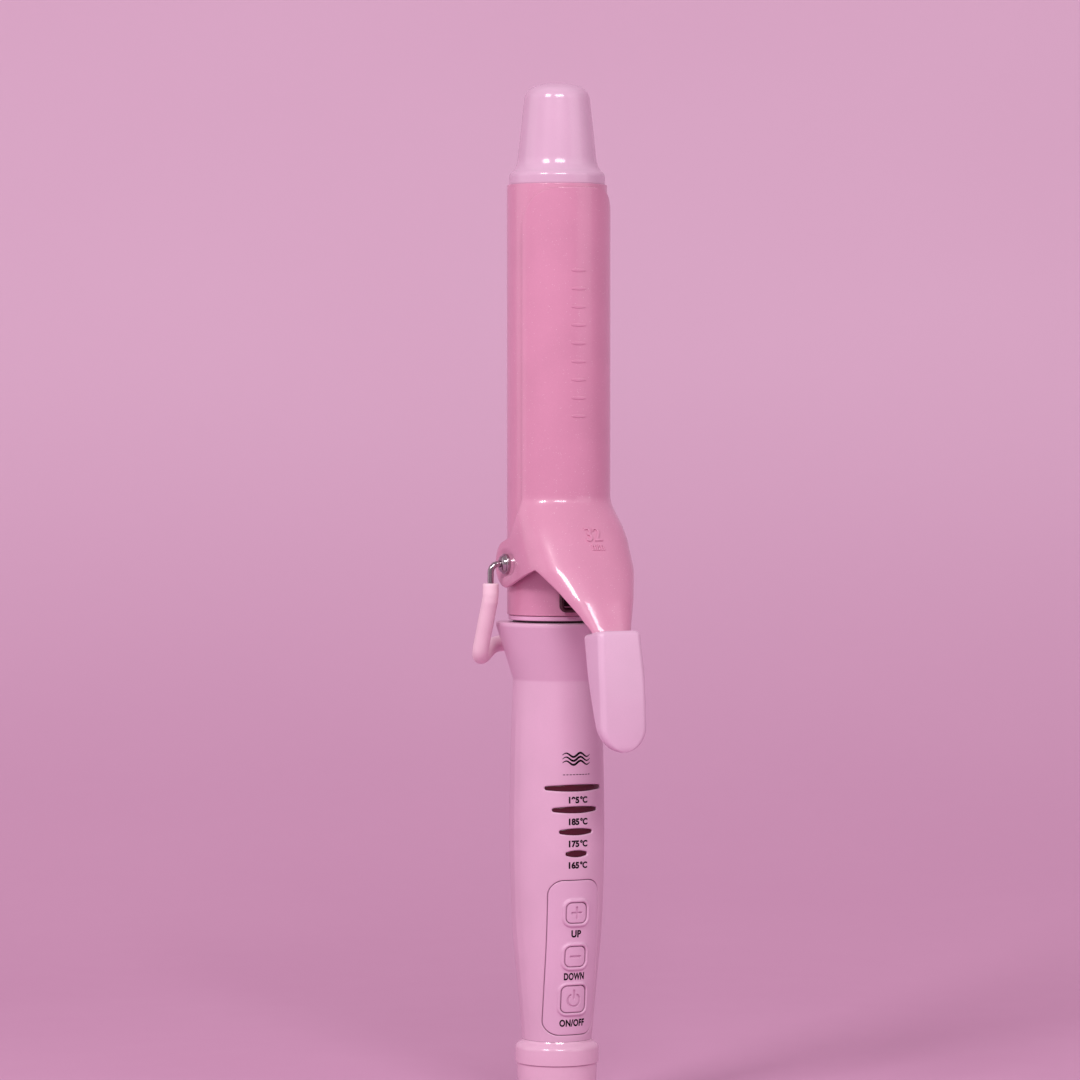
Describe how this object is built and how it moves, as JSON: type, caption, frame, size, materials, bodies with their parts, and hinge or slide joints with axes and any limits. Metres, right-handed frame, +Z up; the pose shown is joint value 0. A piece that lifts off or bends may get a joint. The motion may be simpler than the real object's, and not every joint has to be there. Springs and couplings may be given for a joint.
{
  "type": "curling wand",
  "caption": "Upright hair curling wand: enamelled round barrel with cool tip, sprung clamp and thumb lever, fold-out wire stand, grip with buttons and windows, swivel end.",
  "frame": {"origin": "centre of the cord inlet's mouth, in the flat face of the swivel end that the wand stands on", "axes": "+Z up along the barrel; -Y towards the clamp, the lever and the controls; +X to the right seen from the back; the clamp and the stand turn about a line along X"},
  "size_m": [0.0516, 0.0731, 0.3306],
  "materials": {
    "tip_plastic": "glossy moulded",
    "enamel": "pearl enamel, glossy",
    "ring_plastic": "satin",
    "dark_plastic": "matt",
    "silicone": "matt silicone",
    "chrome": "polished",
    "handle_plastic": "satin paint",
    "button_plastic": "satin",
    "window": "glossy dark window",
    "aluminium": "extruded",
    "ceramic": "heat-proof moulding",
    "spring_steel": "plain",
    "dark_steel": "blackened",
    "washer_plastic": "plain",
    "sensor": "bead",
    "fuse_metal": "plain",
    "lead_sleeve": "woven glass sleeve",
    "board": "solder mask",
    "led": "clear resin",
    "switch_metal": "plain",
    "brass": "plain",
    "carbon": "sintered"
  },
  "bodies": {
    "wand": {"cool_tip": "tip_plastic", "barrel": "enamel", "barrel_ring": "ring_plastic", "barrel_seat": "dark_plastic", "hinge_bush_left": "chrome", "hinge_bush_right": "chrome", "handle_front": "handle_plastic", "handle_back": "handle_plastic", "control_panel": "handle_plastic", "swivel_collar": "tip_plastic", "window_195": "window", "window_185": "window", "window_175": "window", "window_165": "window", "heat_spreader_front": "aluminium", "heat_spreader_back": "aluminium", "heater_plate": "ceramic", "tip_insulator": "ceramic", "spreader_spring": "spring_steel", "clamp_spring": "dark_steel", "spring_plate": "dark_steel", "spring_pin": "dark_steel", "hinge_anchor": "spring_steel", "tip_screw": "spring_steel", "shell_screws": "chrome", "hinge_washers": "washer_plastic", "brush_holder": "washer_plastic", "temperature_sensor": "sensor", "thermal_fuse": "fuse_metal", "heater_leads": "lead_sleeve", "control_board": "board", "board_components": "dark_plastic", "indicator_leds": "led", "tact_switches": "switch_metal", "brush_springs": "brass", "brushes": "carbon"},
    "clamp": {"clamp": "enamel", "thumb_cap": "tip_plastic"},
    "stand": {"stand_wire": "chrome", "stand_sleeve": "silicone"},
    "up_key": {"up_button": "button_plastic", "up_plunger": "dark_plastic"},
    "down_key": {"down_button": "button_plastic", "down_plunger": "dark_plastic"},
    "power_key": {"power_button": "button_plastic", "power_plunger": "dark_plastic"},
    "swivel": {"swivel_end": "tip_plastic", "swivel_clip": "spring_steel", "slip_rings": "brass"}
  },
  "joints": [
    {"name": "clamp_hinge", "type": "hinge", "parent": "wand", "child": "clamp", "pos_m": [0, 0, 0.1775], "axis": [1, 0, 0], "range_deg": [0, 26], "stiffness_Nm_per_rad": 0.25, "springref_deg": -45.84, "deforming": ["clamp_spring"]},
    {"name": "stand_hinge", "type": "hinge", "parent": "wand", "child": "stand", "pos_m": [0, 0, 0.1775], "axis": [1, 0, 0], "range_deg": [0, 95]},
    {"name": "up_press", "type": "slide", "parent": "wand", "child": "up_key", "axis": [0, 1, 0], "range_m": [0, 0.0006], "stiffness_N_per_m": 1500, "springref_m": -0.0006},
    {"name": "down_press", "type": "slide", "parent": "wand", "child": "down_key", "axis": [0, 1, 0], "range_m": [0, 0.0006], "stiffness_N_per_m": 1500, "springref_m": -0.0006},
    {"name": "power_press", "type": "slide", "parent": "wand", "child": "power_key", "axis": [0, 1, 0], "range_m": [0, 0.0006], "stiffness_N_per_m": 1500, "springref_m": -0.0006},
    {"name": "swivel_spin", "type": "hinge", "parent": "wand", "child": "swivel", "pos_m": [0, 0, 0], "axis": [0, 0, 1], "continuous": true}
  ]
}
